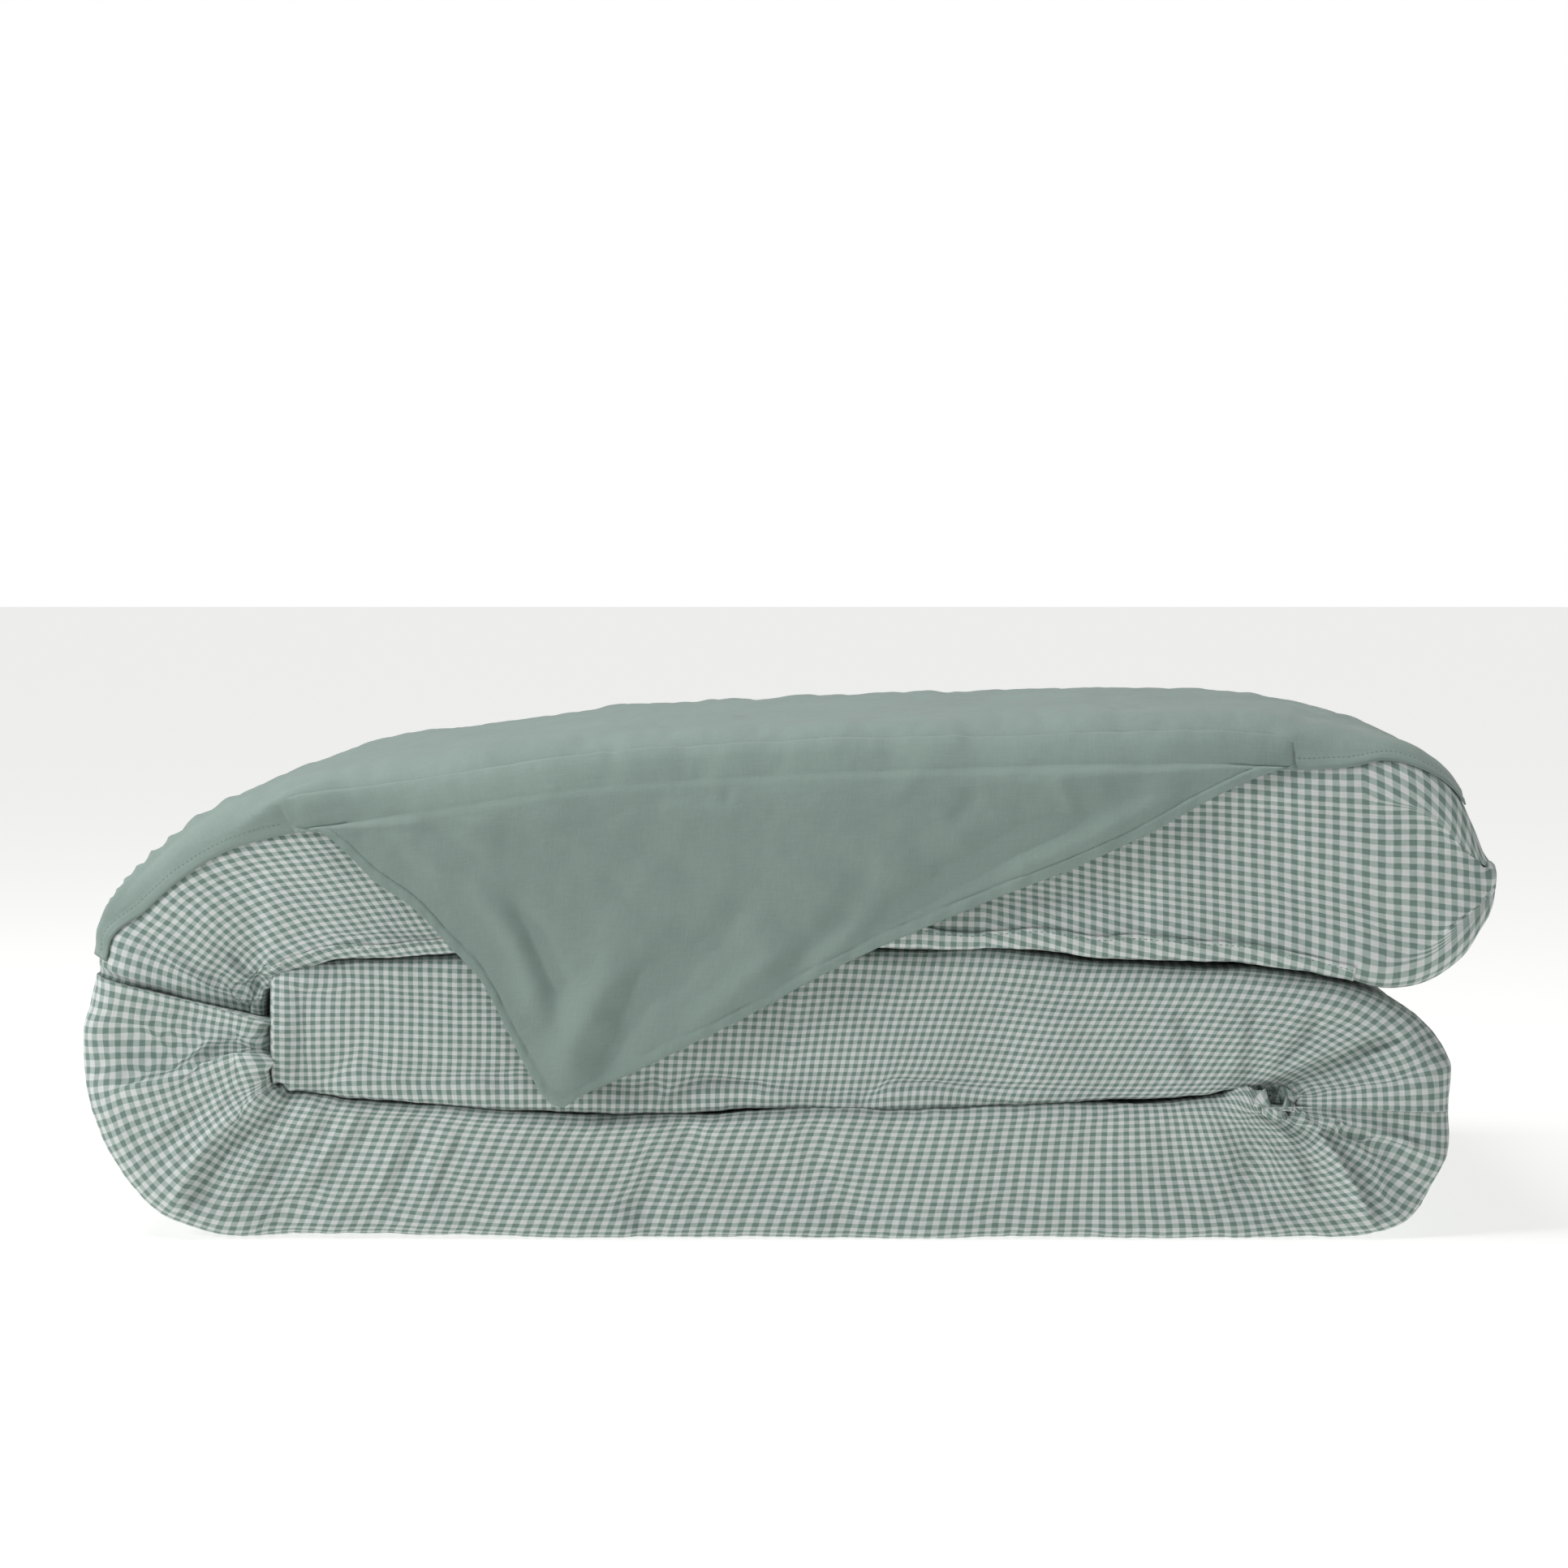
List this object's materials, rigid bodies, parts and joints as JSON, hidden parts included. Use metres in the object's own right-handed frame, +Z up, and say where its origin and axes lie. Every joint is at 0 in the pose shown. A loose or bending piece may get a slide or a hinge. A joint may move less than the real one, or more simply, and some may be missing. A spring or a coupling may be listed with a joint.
{
  "type": "folded duvet",
  "caption": "Duvet in a two-faced cotton cover, folded in three, with gingham outside, a plain reverse on top and one cover corner hanging down the front.",
  "frame": {"origin": "on the surface it rests on, under the middle of its overall box", "axes": "+X along the folded strip to the free end, -Y the front where the corner hangs, +Z up"},
  "size_m": [0.8577, 0.5691, 0.32],
  "materials": {
    "gingham": "matt woven cotton, small green and white check",
    "sage": "matt woven cotton, plain sage green",
    "insert_shell": "matt down-proof cotton",
    "fill": "loose fibre",
    "tape": "matt cotton tape",
    "stud": "satin moulded plastic",
    "label": "satin ribbon, blank"
  },
  "bodies": {
    "bottom_layer": {"bottom_cover": "gingham", "bottom_insert_shell": "insert_shell", "bottom_fill": "fill"},
    "middle_layer": {"middle_cover": "gingham", "middle_end_seam": "gingham", "middle_insert_shell": "insert_shell", "middle_fill": "fill", "insert_loop_middle_front": "tape", "insert_loop_middle_back": "tape", "cover_tie_middle_front": "tape", "cover_tie_middle_back": "tape"},
    "top_layer": {"top_cover": "gingham", "sage_top_panel": "sage", "top_end_seam": "gingham", "front_seam_band": "gingham", "top_insert_shell": "insert_shell", "top_fill": "fill", "insert_loop_top_front": "tape", "insert_loop_top_back": "tape", "cover_tie_top_front": "tape", "cover_tie_top_back": "tape", "opening_under_ply": "sage", "press_stud_1": "stud", "press_stud_2": "stud", "press_stud_3": "stud", "press_stud_4": "stud", "press_stud_5": "stud"},
    "corner_flap": {"corner_flap_panel": "sage", "corner_flap_left_hem": "sage", "corner_flap_right_hem": "sage"},
    "opening_flap": {"opening_flap": "gingham", "press_socket_1": "stud", "press_socket_2": "stud", "press_socket_3": "stud", "press_socket_4": "stud", "press_socket_5": "stud"},
    "care_label": {"care_label": "label"}
  },
  "joints": [
    {"name": "top_layer_open", "type": "hinge", "parent": "bottom_layer", "child": "top_layer", "pos_m": [-0.429, 0, 0.1625], "axis": [0, -1, 0], "range_deg": [0, 180]},
    {"name": "middle_layer_lift", "type": "hinge", "parent": "bottom_layer", "child": "middle_layer", "pos_m": [0.403, 0, 0.078], "axis": [0, 1, 0], "range_deg": [0, 24]},
    {"name": "corner_flap_lift", "type": "hinge", "parent": "top_layer", "child": "corner_flap", "pos_m": [0, -0.27017, 0.31017], "axis": [-1, 0, 0], "range_deg": [0, 150]},
    {"name": "opening_flap_lift", "type": "hinge", "parent": "top_layer", "child": "opening_flap", "pos_m": [0.03, 0.2856, 0.2635], "axis": [1, 0, 0], "range_deg": [0, 120]},
    {"name": "care_label_flip", "type": "hinge", "parent": "top_layer", "child": "care_label", "pos_m": [-0.225, 0.2811, 0.2635], "axis": [1, 0, 0], "range_deg": [0, 120]}
  ],
  "couplings": [
    {"joint": "middle_layer_lift", "follows": "top_layer_open", "ratio": 0.13}
  ]
}
